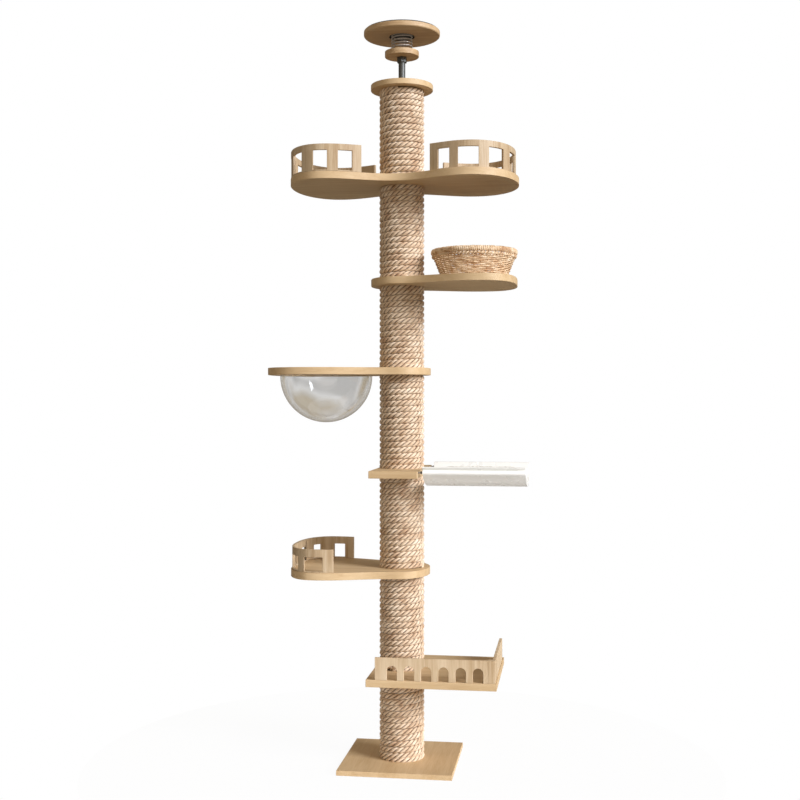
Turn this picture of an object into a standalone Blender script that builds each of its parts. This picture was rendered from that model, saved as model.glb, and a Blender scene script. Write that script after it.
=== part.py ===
"""Floor-to-ceiling cat tree: a sisal column, six perches and a screw jack that presses on the ceiling.

Metres, +Z up. The origin is on the floor, on the column's axis. The front of the tree faces -Y.
"""
import math
from collections import namedtuple

import bmesh
import bpy
from mathutils import Matrix, Vector

MM = 0.001
Lobe = namedtuple("Lobe", "side widest_x half_depth reach exponent heel")

# --- Clearances -----------------------------------------------------------------------------------
TOUCH_GAP = 0.3 * MM
STUD_GAP = 0.5 * MM
PLUG_GAP = 0.6 * MM

# --- Column ---------------------------------------------------------------------------------------
BASE_SIDE = 375 * MM
BASE_THICKNESS = 16.3 * MM
BOARD_THICKNESS = 23.5 * MM
CAP_THICKNESS = 18 * MM
CAP_RADIUS = 104 * MM
BOARD_BOTTOMS = {
    "tray_board": 291.5 * MM,
    "lookout_board": 628 * MM,
    "hammock_board": 958 * MM,
    "bowl_board": 1292 * MM,
    "basket_board": 1587 * MM,
    "twin_board": 1920 * MM,
    "top_cap": 2243 * MM,
}
TUBE_RADIUS = 55 * MM
TUBE_WALL = 5 * MM
ROPE_DIAMETER = 19.2 * MM
ROPE_LINER_GAP = 0.5 * MM
PLUG_THICKNESS = 20 * MM
STUD_RADIUS = 5 * MM
STUD_REACH = 17 * MM
STUD_DEPTH_IN_BASE = 11 * MM

# --- Boards ---------------------------------------------------------------------------------------
TRAY_LEFT = -89 * MM
TRAY_RIGHT = 329.7 * MM
TRAY_HALF_DEPTH = 201 * MM
HAMMOCK_BOARD_LEFT = -80 * MM
HAMMOCK_BOARD_RIGHT = 77 * MM
HAMMOCK_BOARD_HALF_DEPTH = 200 * MM
LOBE_WAIST = 134 * MM
LOOKOUT_LOBE = Lobe(-1, 258 * MM, 197 * MM, 366 * MM, 2.4, 94 * MM)
BOWL_LOBE = Lobe(-1, 290 * MM, 200 * MM, 447.5 * MM, 2.4, 96.5 * MM)
BASKET_LOBE = Lobe(1, 260 * MM, 204 * MM, 385 * MM, 2.6, 102 * MM)
TWIN_LOBES = {
    -1: Lobe(-1, 238 * MM, 210 * MM, 371 * MM, 2.1, 0),
    1: Lobe(1, 236 * MM, 210 * MM, 391 * MM, 2.1, 0),
}

# --- Fences ---------------------------------------------------------------------------------------
FENCE_THICKNESS = 9 * MM
FENCE_INSET = 4 * MM
FENCE_SILL = 4 * MM
TRAY_FENCE_HEIGHT = 72 * MM
TRAY_FENCE_LEFT = -59 * MM
TRAY_SIDE_THICKNESS = 10 * MM
TRAY_SIDE_BACK = 166 * MM
TRAY_CORNER = 22.7 * MM
ARCH_COUNT = 6
ARCH_PITCH = 55 * MM
ARCH_FIRST_X = -3.9 * MM
ARCH_WIDTH = 33 * MM
ARCH_HEIGHT = 47 * MM
LOOKOUT_FENCE_HEIGHT = 75 * MM
LOOKOUT_RAIL = 25 * MM
LOOKOUT_FENCE_START = 195 * MM
LOOKOUT_WINDOWS = [(36, 98), (128, 204), (246, 300), (352, 396), (452, 490), (545, 583)]
TWIN_FENCE_HEIGHT = 88 * MM
TWIN_RAIL = 20 * MM
TWIN_FENCE_INSETS = {-1: 1 * MM, 1: 10.5 * MM}
TWIN_FENCE_START = 107.5 * MM
TWIN_FENCE_END = 115 * MM
TWIN_WINDOWS = {
    -1: [(31, 78), (114, 160), (208, 270), (313, 371), (433, 490), (532, 590), (634, 684), (718, 765)],
    1: [(30, 73), (104, 169), (206, 269), (312, 374), (446, 508), (551, 614), (651, 716), (747, 790)],
}

# --- Beds -----------------------------------------------------------------------------------------
BOWL_X = -258 * MM
BOWL_RADIUS = 151.7 * MM
BOWL_NECK = 3 * MM
BOWL_WALL = 3.5 * MM
BOWL_SIDES = 36
BOWL_RINGS = 8
BOWL_FLANGE_RADIUS = 164 * MM
BOWL_HOLE_GAP = 1 * MM
BASKET_X = 242.7 * MM
BASKET_BASE_RADIUS = 111 * MM
BASKET_WAIST_RADIUS = 138 * MM
BASKET_RIM_RADIUS = 145 * MM
BASKET_HEIGHT = 97 * MM
BASKET_RIM_HEIGHT = 26 * MM
BASKET_WALL = 8 * MM
ROD_RADIUS = 3 * MM
ROD_Y = 168 * MM
ROD_DEPTH = 5 * MM
ROD_LEFT = -70 * MM
ROD_RIGHT = 412 * MM
TROUGH_LEFT = 89.5 * MM
TROUGH_RIGHT = 420 * MM
TROUGH_RIM_TOP = 995 * MM
TROUGH_DEPTH = 71 * MM
TROUGH_HALF_WIDTH = 163 * MM
TROUGH_RIM_WIDTH = 13 * MM
TROUGH_WALL = 3.5 * MM
MAT_GAP = 2 * MM
MAT_THICKNESS = 13 * MM
MAT_EDGE_ANGLE = 12
MAT_END_INSET = 8 * MM

# --- Jack -----------------------------------------------------------------------------------------
SCREW_RADIUS = 11.5 * MM
SCREW_BURIED = 150 * MM
SCREW_RUNNING_GAP = 0.5 * MM
SCREW_HEAD_RADIUS = 17.5 * MM
SCREW_HEAD_HEIGHT = 18 * MM
INSERT_RADIUS = 15 * MM
INSERT_FLANGE_RADIUS = 21 * MM
INSERT_FLANGE_THICKNESS = 4 * MM
SEAT_BOTTOM = 2356.7 * MM
SEAT_TOP = 2375 * MM
SEAT_RADIUS = 57 * MM
CEILING_BOTTOM = 2424.4 * MM
CEILING_TOP = 2442.2 * MM
CEILING_RADIUS = 127.5 * MM
CEILING_ROUND = 3 * MM
CEILING_PAD_THICKNESS = 3 * MM
CEILING_PAD_RADIUS = 122 * MM
SPRING_RECESS_RADIUS = 42.5 * MM
SPRING_RECESS_DEPTH = 6 * MM
SPRING_RADIUS = 34 * MM
SPRING_WIRE_RADIUS = 2.1 * MM
SPRING_TURNS = 6
SPRING_POINTS_PER_TURN = 12

# --- Facets ---------------------------------------------------------------------------------------
FINE_SIDES = 48
TUBE_SIDES = 32
SMALL_SIDES = 16

WOOD = ("pine_board", (0.62, 0.47, 0.29), 0.55, 0.0)
WOOD_FENCE = ("pine_fence", (0.70, 0.55, 0.36), 0.55, 0.0)
SISAL = ("sisal_rope", (0.63, 0.43, 0.25), 0.95, 0.0)
PIPE = ("grey_pipe", (0.55, 0.55, 0.56), 0.5, 0.0)
STEEL = ("bright_steel", (0.62, 0.61, 0.60), 0.3, 1.0)
BLACK_STEEL = ("black_steel", (0.07, 0.07, 0.07), 0.45, 0.6)
ACRYLIC = ("clear_acrylic", (0.92, 0.94, 0.95), 0.05, 0.0)
WICKER = ("willow_wicker", (0.58, 0.38, 0.20), 0.75, 0.0)
PLUSH = ("white_plush", (0.80, 0.79, 0.76), 0.95, 0.0)
RUBBER = ("grey_rubber", (0.20, 0.20, 0.20), 0.8, 0.0)


# --- Scene helpers --------------------------------------------------------------------------------
def clear_scene():
    for item in list(bpy.data.objects):
        bpy.data.objects.remove(item, do_unlink=True)


def make_collection(name):
    collection = bpy.data.collections.new(name)
    bpy.context.scene.collection.children.link(collection)
    return collection


def get_material(finish):
    """Return the Principled material of a finish, made once."""
    name, colour, roughness, metallic = finish
    if name in bpy.data.materials:
        return bpy.data.materials[name]
    material = bpy.data.materials.new(name)
    material.use_nodes = True
    shader = material.node_tree.nodes["Principled BSDF"]
    shader.inputs["Base Color"].default_value = (*colour, 1.0)
    shader.inputs["Roughness"].default_value = roughness
    shader.inputs["Metallic"].default_value = metallic
    return material


def add_object(name, data, finish, location=(0, 0, 0), rotation=(0, 0, 0)):
    item = bpy.data.objects.new(name, data)
    item.location = location
    item.rotation_euler = rotation
    data.materials.append(get_material(finish))
    PARTS.objects.link(item)
    return item


def add_pivot(name, location):
    """An empty on a joint's axis, to carry the pieces that move about it."""
    pivot = bpy.data.objects.new(name, None)
    pivot.location = location
    pivot.empty_display_size = 0.05
    PARTS.objects.link(pivot)
    return pivot


def parent_to(pivot, pieces):
    bpy.context.view_layer.update()
    for piece in pieces:
        piece.parent = pivot
        piece.matrix_parent_inverse = pivot.matrix_world.inverted()


def smooth(item):
    item.data.shade_smooth()
    item.data.set_sharp_from_angle(angle=math.radians(35))
    return item


# --- Outlines, as lists of (x, y) ------------------------------------------------------------------
def arc(centre, radius, start, end, steps, squash=1.0):
    """Points along an arc, in degrees; squash scales its y."""
    points = []
    for index in range(steps + 1):
        angle = math.radians(start + (end - start) * index / steps)
        points.append((centre[0] + radius * math.cos(angle), centre[1] + squash * radius * math.sin(angle)))
    return points


def circle(radius, sides, centre=(0, 0)):
    return arc(centre, radius, 0, 360, sides)[:-1]


def rectangle(left, right, near, far):
    return [(left, near), (right, near), (right, far), (left, far)]


def lobe_half_depth(lobe, x):
    """Half depth of a lobe between the post and its widest part."""
    rise = (1 - math.cos(math.pi * x / lobe.widest_x)) / 2
    return LOBE_WAIST + (lobe.half_depth - LOBE_WAIST) * rise


def lobe_end(lobe, steps):
    """Outer end of a lobe, half a superellipse, from the front to the back."""
    points = []
    for cosine, sine in arc((0, 0), 1, -90, 90, steps):
        across = max(cosine, 0) ** (2 / lobe.exponent) * (lobe.reach - lobe.widest_x)
        depth = math.copysign(abs(sine) ** (2 / lobe.exponent), sine) * lobe.half_depth
        points.append((lobe.widest_x + across, depth))
    return points


def lobe_edge(lobe, start, end, steps=12):
    """Edge of a lobe, from start in front, round its outer end, to end behind."""
    front = [start + (lobe.widest_x - start) * index / steps for index in range(steps)]
    back = [lobe.widest_x + (end - lobe.widest_x) * index / steps for index in range(1, steps + 1)]
    points = [(x, -lobe_half_depth(lobe, x)) for x in front]
    points += lobe_end(lobe, 2 * steps)
    points += [(x, lobe_half_depth(lobe, x)) for x in back]
    return [(lobe.side * x, y) for x, y in points]


def paddle(lobe):
    """Outline of a board with one lobe and a short rounded end behind the post."""
    heel = arc((0, 0), lobe.heel, 90, 270, 12, LOBE_WAIST / lobe.heel)[1:-1]
    points = lobe_edge(lobe, 0, 0) + [(lobe.side * x, y) for x, y in heel]
    return points[::lobe.side]


def twin_outline():
    """Outline of the board with two lobes."""
    return lobe_edge(TWIN_LOBES[1], 0, 0)[:-1] + lobe_edge(TWIN_LOBES[-1], 0, 0)[::-1][:-1]


def offset_path(points, distance):
    """Shift an open path to its left by distance."""
    shifted = []
    for index, point in enumerate(points):
        before = Vector(points[max(index - 1, 0)])
        after = Vector(points[min(index + 1, len(points) - 1)])
        along = (after - before).normalized()
        shifted.append((point[0] - along.y * distance, point[1] + along.x * distance))
    return shifted


def walk_path(points, distance):
    """Position and heading after a distance along an open path."""
    left = distance
    for start, end in zip(points, points[1:]):
        step = Vector(end) - Vector(start)
        if left <= step.length:
            return Vector(start) + step.normalized() * left, math.atan2(step.y, step.x)
        left -= step.length
    return Vector(points[-1]), math.atan2(step.y, step.x)


# --- Solid builders -------------------------------------------------------------------------------
def flat_curve(name, loops, thickness):
    """A filled flat outline with holes, centred on its own plane."""
    curve = bpy.data.curves.new(name, "CURVE")
    curve.dimensions = "2D"
    curve.fill_mode = "BOTH"
    curve.extrude = thickness / 2
    for loop in loops:
        spline = curve.splines.new("POLY")
        spline.points.add(len(loop) - 1)
        for point, (x, y) in zip(spline.points, loop):
            point.co = (x, y, 0, 1)
        spline.use_cyclic_u = True
    return curve


def plate(name, loops, bottom, thickness, finish):
    """A level plate of a flat outline; loops inside the first one are holes."""
    curve = flat_curve(name, loops, thickness)
    return add_object(name, curve, finish, location=(0, 0, bottom + thickness / 2))


def to_mesh(item):
    """Replace a curve object by its closed mesh."""
    bpy.context.view_layer.update()
    evaluated = item.evaluated_get(bpy.context.evaluated_depsgraph_get())
    mesh = bpy.data.meshes.new_from_object(evaluated)
    work = bmesh.new()
    work.from_mesh(mesh)
    bmesh.ops.remove_doubles(work, verts=work.verts, dist=1e-6)
    work.to_mesh(mesh)
    work.free()
    name, matrix = item.name, item.matrix_world.copy()
    bpy.data.objects.remove(item, do_unlink=True)
    solid = bpy.data.objects.new(name, mesh)
    solid.matrix_world = matrix
    PARTS.objects.link(solid)
    return smooth(solid)


def turned(name, profile, sides, finish, location=(0, 0, 0), closed=False):
    """Turn a profile of (radius, z) round Z; its outer side runs from top to bottom."""
    mesh = bpy.data.meshes.new(name)
    work = bmesh.new()
    points = [work.verts.new((radius, 0, z)) for radius, z in profile]
    for start, end in zip(points, points[1:]):
        work.edges.new((start, end))
    if closed:
        work.edges.new((points[-1], points[0]))
    work.to_mesh(mesh)
    work.free()
    item = add_object(name, mesh, finish, location)
    screw = item.modifiers.new("turn", "SCREW")
    screw.steps = sides
    screw.render_steps = sides
    screw.use_merge_vertices = True
    screw.merge_threshold = 1e-5
    screw.use_smooth_shade = True
    return item


def cylinder(name, radius, start, end, sides, finish):
    """A level-ended cylinder on the column's axis."""
    return turned(name, [(0, end), (radius, end), (radius, start), (0, start)], sides, finish)


def cutter_box(name, size, location, heading=0.0):
    bpy.ops.mesh.primitive_cube_add(size=1)
    box = bpy.context.active_object
    box.data.transform(Matrix.Diagonal((*size, 1)))
    return store_cutter(box, name, location, (0, 0, heading))


def cutter_cylinder(name, radius, length, location, rotation, sides=SMALL_SIDES):
    bpy.ops.mesh.primitive_cylinder_add(radius=radius, depth=length, vertices=sides)
    return store_cutter(bpy.context.active_object, name, location, rotation)


def store_cutter(item, name, location, rotation):
    """Name a cutter, place it and move it to the hidden collection."""
    item.name = name
    item.location = location
    item.rotation_euler = rotation
    item.hide_render = True
    item.display_type = "WIRE"
    for collection in list(item.users_collection):
        collection.objects.unlink(item)
    CUTTERS.objects.link(item)
    return item


def combine(target, tool, operation):
    change = target.modifiers.new(tool.name, "BOOLEAN")
    change.operation = operation
    change.solver = "EXACT"
    change.object = tool


# --- Column ---------------------------------------------------------------------------------------
def board_top(name):
    thickness = CAP_THICKNESS if name == "top_cap" else BOARD_THICKNESS
    return BOARD_BOTTOMS[name] + thickness


def build_base():
    """Base plate with a blind hole for the first stud."""
    half = BASE_SIDE / 2
    base = to_mesh(plate("base_plate", [rectangle(-half, half, -half, half)], 0, BASE_THICKNESS, WOOD))
    depth = STUD_DEPTH_IN_BASE + STUD_GAP
    hole = cutter_cylinder("base_hole", STUD_RADIUS + STUD_GAP, 2 * depth, (0, 0, BASE_THICKNESS), (0, 0, 0))
    combine(base, hole, "DIFFERENCE")


def build_segment(index, bottom, top, is_last):
    """One column segment: pipe, rope sleeve and an end plug at each end."""
    bottom += TOUCH_GAP
    height = top - TOUCH_GAP - bottom
    inner = TUBE_RADIUS - TUBE_WALL
    tube_loops = [circle(TUBE_RADIUS, TUBE_SIDES), circle(inner, TUBE_SIDES)]
    plate(f"core_tube_{index}", tube_loops, bottom, height, PIPE)
    sleeve_inner = TUBE_RADIUS + ROPE_LINER_GAP
    sleeve_loops = [circle(sleeve_inner + ROPE_DIAMETER, FINE_SIDES), circle(sleeve_inner, TUBE_SIDES)]
    plate(f"sisal_sleeve_{index}", sleeve_loops, bottom, height, SISAL)
    stud_hole = STUD_RADIUS + STUD_GAP
    top_hole = INSERT_RADIUS + STUD_GAP if is_last else stud_hole
    plug_bottoms = {"lower": (bottom, stud_hole), "upper": (bottom + height - PLUG_THICKNESS, top_hole)}
    for end, (plug_bottom, hole) in plug_bottoms.items():
        loops = [circle(inner - PLUG_GAP, SMALL_SIDES), circle(hole, SMALL_SIDES)]
        plate(f"tube_plug_{index}_{end}", loops, plug_bottom, PLUG_THICKNESS, WOOD)


def build_column():
    """Seven segments between the base, the boards and the cap, joined by studs."""
    names = list(BOARD_BOTTOMS)
    bottoms = [BASE_THICKNESS] + [board_top(name) for name in names[:-1]]
    for index, (name, bottom) in enumerate(zip(names, bottoms), start=1):
        build_segment(index, bottom, BOARD_BOTTOMS[name], name == names[-1])
    stud_start = BASE_THICKNESS - STUD_DEPTH_IN_BASE
    cylinder("base_stud", STUD_RADIUS, stud_start, BASE_THICKNESS + STUD_REACH, SMALL_SIDES, STEEL)
    for name in names[:-1]:
        start = BOARD_BOTTOMS[name] - STUD_REACH
        end = board_top(name) + STUD_REACH
        cylinder(name.replace("board", "stud"), STUD_RADIUS, start, end, SMALL_SIDES, STEEL)


# --- Boards ---------------------------------------------------------------------------------------
def build_boards():
    """The six boards and the cap, each with its hole on the column's axis."""
    outlines = {
        "tray_board": rectangle(TRAY_LEFT, TRAY_RIGHT, -TRAY_HALF_DEPTH, TRAY_HALF_DEPTH),
        "lookout_board": paddle(LOOKOUT_LOBE),
        "hammock_board": rectangle(HAMMOCK_BOARD_LEFT, HAMMOCK_BOARD_RIGHT,
                                   -HAMMOCK_BOARD_HALF_DEPTH, HAMMOCK_BOARD_HALF_DEPTH),
        "bowl_board": paddle(BOWL_LOBE),
        "basket_board": paddle(BASKET_LOBE),
        "twin_board": twin_outline(),
        "top_cap": circle(CAP_RADIUS, FINE_SIDES),
    }
    stud_hole = circle(STUD_RADIUS + STUD_GAP, SMALL_SIDES)
    boards = {}
    for name, outline in outlines.items():
        loops = [outline, stud_hole]
        if name == "bowl_board":
            loops.append(circle(BOWL_RADIUS + BOWL_HOLE_GAP, BOWL_SIDES, (BOWL_X, 0)))
        if name == "top_cap":
            loops = [outline, circle(INSERT_RADIUS + STUD_GAP, SMALL_SIDES)]
        thickness = board_top(name) - BOARD_BOTTOMS[name]
        boards[name] = plate(name, loops, BOARD_BOTTOMS[name], thickness, WOOD)
    bore_for_rods(boards["hammock_board"])


def bore_for_rods(board):
    """Blind bores from the hammock board's right edge, for the two rods."""
    solid = to_mesh(board)
    length = 2 * (HAMMOCK_BOARD_RIGHT - HAMMOCK_BOARD_LEFT)
    start = ROD_LEFT - TOUCH_GAP
    for side in (-1, 1):
        location = (start + length / 2, side * ROD_Y, board_top("hammock_board") - ROD_DEPTH)
        radius = ROD_RADIUS + 2 * TOUCH_GAP
        bore = cutter_cylinder(f"rod_bore_{side}", radius, length, location, (0, math.pi / 2, 0))
        combine(solid, bore, "DIFFERENCE")


# --- Fences ---------------------------------------------------------------------------------------
def arch_notch(centre_x):
    """Outline of one arched window, open at the fence's foot, from right to left."""
    radius = ARCH_WIDTH / 2
    spring_line = ARCH_HEIGHT - radius
    right, left = centre_x + radius, centre_x - radius
    return [(right, 0)] + arc((centre_x, spring_line), radius, 0, 180, 10) + [(left, 0)]


def build_tray_fence():
    """Arcaded front fence and the plain side fence with its corner stile."""
    foot = board_top("tray_board") + TOUCH_GAP
    side_right = TRAY_RIGHT - FENCE_INSET
    stile_left = side_right - TRAY_CORNER
    front_right = stile_left - TOUCH_GAP
    outline = [(TRAY_FENCE_LEFT, 0), (TRAY_FENCE_LEFT, TRAY_FENCE_HEIGHT),
               (front_right, TRAY_FENCE_HEIGHT), (front_right, 0)]
    for index in reversed(range(ARCH_COUNT)):
        outline += arch_notch(ARCH_FIRST_X + index * ARCH_PITCH)
    curve = flat_curve("tray_front_fence", [outline], FENCE_THICKNESS)
    middle = FENCE_THICKNESS / 2 - TRAY_HALF_DEPTH
    add_object("tray_front_fence", curve, WOOD_FENCE, (0, middle, foot), (math.pi / 2, 0, 0))
    front = -TRAY_HALF_DEPTH
    panel_left = side_right - TRAY_SIDE_THICKNESS
    side = [
        (stile_left, front), (side_right, front), (side_right, TRAY_SIDE_BACK), (panel_left, TRAY_SIDE_BACK),
        (panel_left, front + TRAY_CORNER), (stile_left, front + TRAY_CORNER),
    ]
    plate("tray_side_fence", [side], foot, TRAY_FENCE_HEIGHT, WOOD_FENCE)


def build_curved_fence(name, lobe, path_ends, windows, board, height, rail, inset):
    """A bent fence round a lobe's end, inset from the board's edge; windows are spans along it."""
    edge = lobe_edge(lobe, *path_ends)
    outer = offset_path(edge, lobe.side * inset)
    inner = offset_path(edge, lobe.side * (inset + FENCE_THICKNESS))
    foot = board_top(board) + TOUCH_GAP
    fence = to_mesh(plate(name, [outer + inner[::-1]], foot, height, WOOD_FENCE))
    window_height = height - rail - FENCE_SILL
    for index, (start, end) in enumerate(windows):
        place, heading = walk_path(outer, (start + end) / 2 * MM)
        location = (place.x, place.y, foot + FENCE_SILL + window_height / 2)
        size = ((end - start) * MM, 5 * FENCE_THICKNESS, window_height)
        combine(fence, cutter_box(f"{name}_window_{index}", size, location, heading), "DIFFERENCE")


def build_lookout_fence():
    """Fence round the lookout's lobe, from its front end over the left side to the back."""
    build_curved_fence("lookout_fence", LOOKOUT_LOBE, (LOOKOUT_FENCE_START, LOOKOUT_FENCE_START),
                       LOOKOUT_WINDOWS, "lookout_board", LOOKOUT_FENCE_HEIGHT, LOOKOUT_RAIL, FENCE_INSET)


def build_twin_fences():
    """One fence round the outer end of each lobe of the twin board."""
    for side, name in ((-1, "twin_fence_left"), (1, "twin_fence_right")):
        build_curved_fence(name, TWIN_LOBES[side], (TWIN_FENCE_START, TWIN_FENCE_END), TWIN_WINDOWS[side],
                           "twin_board", TWIN_FENCE_HEIGHT, TWIN_RAIL, TWIN_FENCE_INSETS[side])


# --- Beds -----------------------------------------------------------------------------------------
def build_bowl():
    """Clear bowl that drops through its board and rests on a flange."""
    equator = BOARD_BOTTOMS["bowl_board"] - BOWL_NECK
    flange_bottom = board_top("bowl_board") + TOUCH_GAP
    flange_top = flange_bottom + BOWL_WALL
    inner = BOWL_RADIUS - BOWL_WALL
    profile = arc((0, equator), inner, -90, 0, BOWL_RINGS)
    profile += [(inner, flange_top), (BOWL_FLANGE_RADIUS, flange_top), (BOWL_FLANGE_RADIUS, flange_bottom)]
    profile += [(BOWL_RADIUS, flange_bottom)] + arc((0, equator), BOWL_RADIUS, 0, -90, BOWL_RINGS)
    profile[0] = (0, equator - inner)
    profile[-1] = (0, equator - BOWL_RADIUS)
    bowl = turned("acrylic_bowl", profile, BOWL_SIDES, ACRYLIC, (BOWL_X, 0, 0))
    parent_to(add_pivot("bowl_lift_axis", (BOWL_X, 0, equator)), [bowl])


def build_basket():
    """Round wicker basket with a thick rim, loose on its board."""
    foot = board_top("basket_board") + TOUCH_GAP
    top = foot + BASKET_HEIGHT
    rim_foot = top - BASKET_RIM_HEIGHT
    edge = 4 * MM
    wall = BASKET_WALL
    profile = [
        (0, foot + wall), (BASKET_BASE_RADIUS - wall, foot + wall),
        (BASKET_WAIST_RADIUS - wall, rim_foot), (BASKET_WAIST_RADIUS - wall, top - edge),
        (BASKET_WAIST_RADIUS - wall + edge, top), (BASKET_RIM_RADIUS - edge, top),
        (BASKET_RIM_RADIUS, top - edge), (BASKET_RIM_RADIUS, rim_foot + edge),
        (BASKET_WAIST_RADIUS, rim_foot), (BASKET_BASE_RADIUS, foot), (0, foot),
    ]
    basket = turned("wicker_basket", profile, FINE_SIDES, WICKER, (BASKET_X, 0, 0))
    parent_to(add_pivot("basket_lift_axis", (BASKET_X, 0, foot)), [basket])


def lengthwise(name, outline, left, right, finish):
    """Extrude an outline of (y, z) along X between left and right."""
    curve = flat_curve(name, [outline], right - left)
    return add_object(name, curve, finish, ((left + right) / 2, 0, 0), (math.pi / 2, 0, math.pi / 2))


def build_hammock():
    """Clear trough on two rods, lined with a plush mat."""
    top = TROUGH_RIM_TOP
    rod_height = board_top("hammock_board") - ROD_DEPTH
    rim_foot = rod_height + ROD_RADIUS + TOUCH_GAP
    half = TROUGH_HALF_WIDTH
    inner = half - TROUGH_WALL
    outer_drop = rim_foot - (top - TROUGH_DEPTH)
    inner_drop = TROUGH_DEPTH - TROUGH_WALL
    lip = half + TROUGH_RIM_WIDTH
    outline = [(lip, top), (lip, rim_foot)]
    outline += arc((0, rim_foot), half, 0, -180, 28, outer_drop / half)
    outline += [(-lip, rim_foot), (-lip, top)]
    outline += arc((0, top), inner, -180, 0, 28, inner_drop / inner)
    lengthwise("hammock_trough", outline, TROUGH_LEFT, TROUGH_RIGHT, ACRYLIC)
    low, high = inner - MAT_GAP, inner - MAT_GAP - MAT_THICKNESS
    low_drop, high_drop = inner_drop - MAT_GAP, inner_drop - MAT_GAP - MAT_THICKNESS
    start, end = -MAT_EDGE_ANGLE, MAT_EDGE_ANGLE - 180
    mat = arc((0, top), low, start, end, 24, low_drop / low)
    mat += arc((0, top), high, end, start, 24, high_drop / high)
    lengthwise("hammock_mat", mat, TROUGH_LEFT + MAT_END_INSET, TROUGH_RIGHT - MAT_END_INSET, PLUSH)
    for name, side in (("hammock_rod_front", -1), ("hammock_rod_back", 1)):
        rod = lengthwise(name, circle(ROD_RADIUS, SMALL_SIDES), ROD_LEFT, ROD_RIGHT, STEEL)
        rod.location.y = side * ROD_Y
        rod.location.z = rod_height


# --- Jack -----------------------------------------------------------------------------------------
def build_jack_insert():
    """Flanged threaded insert in the cap and the topmost plug; the screw turns in it."""
    flange_bottom = board_top("top_cap") + TOUCH_GAP
    flange_top = flange_bottom + INSERT_FLANGE_THICKNESS
    foot = BOARD_BOTTOMS["top_cap"] - PLUG_THICKNESS
    bore = SCREW_RADIUS + SCREW_RUNNING_GAP
    profile = [(bore, foot), (bore, flange_top), (INSERT_FLANGE_RADIUS, flange_top),
               (INSERT_FLANGE_RADIUS, flange_bottom), (INSERT_RADIUS, flange_bottom), (INSERT_RADIUS, foot)]
    turned("jack_insert", profile, SMALL_SIDES, STEEL, closed=True)


def build_jack_screw():
    """Screw with a hexagonal head below the spring seat."""
    head_top = SEAT_BOTTOM - TOUCH_GAP
    head_bottom = head_top - SCREW_HEAD_HEIGHT
    foot = board_top("top_cap") - SCREW_BURIED
    screw = cylinder("jack_screw", SCREW_RADIUS, foot, head_bottom + 2 * MM, SMALL_SIDES, BLACK_STEEL)
    middle = (0, 0, (head_top + head_bottom) / 2)
    head = cutter_cylinder("screw_head", SCREW_HEAD_RADIUS, SCREW_HEAD_HEIGHT, middle, (0, 0, 0), 6)
    combine(screw, head, "UNION")
    return screw


def build_spring():
    """Open coil spring between the seat and the ceiling disc's recess."""
    low = SEAT_TOP + TOUCH_GAP + SPRING_WIRE_RADIUS
    high = CEILING_BOTTOM + SPRING_RECESS_DEPTH - TOUCH_GAP - SPRING_WIRE_RADIUS
    curve = bpy.data.curves.new("pressure_spring", "CURVE")
    curve.dimensions = "3D"
    curve.bevel_depth = SPRING_WIRE_RADIUS
    curve.bevel_resolution = 2
    curve.use_fill_caps = True
    spline = curve.splines.new("POLY")
    count = SPRING_TURNS * SPRING_POINTS_PER_TURN
    spline.points.add(count)
    for index, point in enumerate(spline.points):
        share = index / count
        angle = 2 * math.pi * SPRING_TURNS * share
        height = low + (high - low) * share
        point.co = (SPRING_RADIUS * math.cos(angle), SPRING_RADIUS * math.sin(angle), height, 1)
    return add_object("pressure_spring", curve, STEEL)


def build_ceiling():
    """Ceiling disc with the spring's recess below, and its rubber pad on top."""
    recess_top = CEILING_BOTTOM + SPRING_RECESS_DEPTH
    edge = CEILING_ROUND
    profile = [
        (0, CEILING_TOP), (CEILING_RADIUS - edge / 2, CEILING_TOP), (CEILING_RADIUS, CEILING_TOP - edge / 2),
        (CEILING_RADIUS, CEILING_BOTTOM + edge), (CEILING_RADIUS - edge, CEILING_BOTTOM),
        (SPRING_RECESS_RADIUS, CEILING_BOTTOM), (SPRING_RECESS_RADIUS, recess_top), (0, recess_top),
    ]
    disc = turned("ceiling_disc", profile, FINE_SIDES, WOOD)
    pad_bottom = CEILING_TOP + TOUCH_GAP
    pad = cylinder("ceiling_pad", CEILING_PAD_RADIUS, pad_bottom, pad_bottom + CEILING_PAD_THICKNESS,
                   FINE_SIDES, RUBBER)
    return [disc, pad]


def build_jack():
    """Insert, screw, spring seat, spring and ceiling disc, with the moving ones on the jack's axis."""
    build_jack_insert()
    screw = build_jack_screw()
    seat = cylinder("spring_seat", SEAT_RADIUS, SEAT_BOTTOM, SEAT_TOP, FINE_SIDES, WOOD)
    spring = build_spring()
    jack_pivot = add_pivot("jack_lift_axis", (0, 0, SEAT_BOTTOM))
    ceiling_pivot = add_pivot("ceiling_press_axis", (0, 0, CEILING_BOTTOM))
    parent_to(ceiling_pivot, build_ceiling())
    parent_to(jack_pivot, [screw, seat, spring, ceiling_pivot])


def build_all():
    """Model the whole tree."""
    build_base()
    build_column()
    build_boards()
    build_tray_fence()
    build_lookout_fence()
    build_twin_fences()
    build_bowl()
    build_basket()
    build_hammock()
    build_jack()


clear_scene()
PARTS = make_collection("cat_tree")
CUTTERS = make_collection("cutters")
build_all()
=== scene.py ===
"""Looks of a floor-to-ceiling cat tree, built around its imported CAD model."""

import logging
import math
import random
from dataclasses import dataclass, field
from enum import Enum
from typing import Iterable, Sequence

import bmesh
import bpy
from mathutils import Matrix, Vector, kdtree, noise


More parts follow.
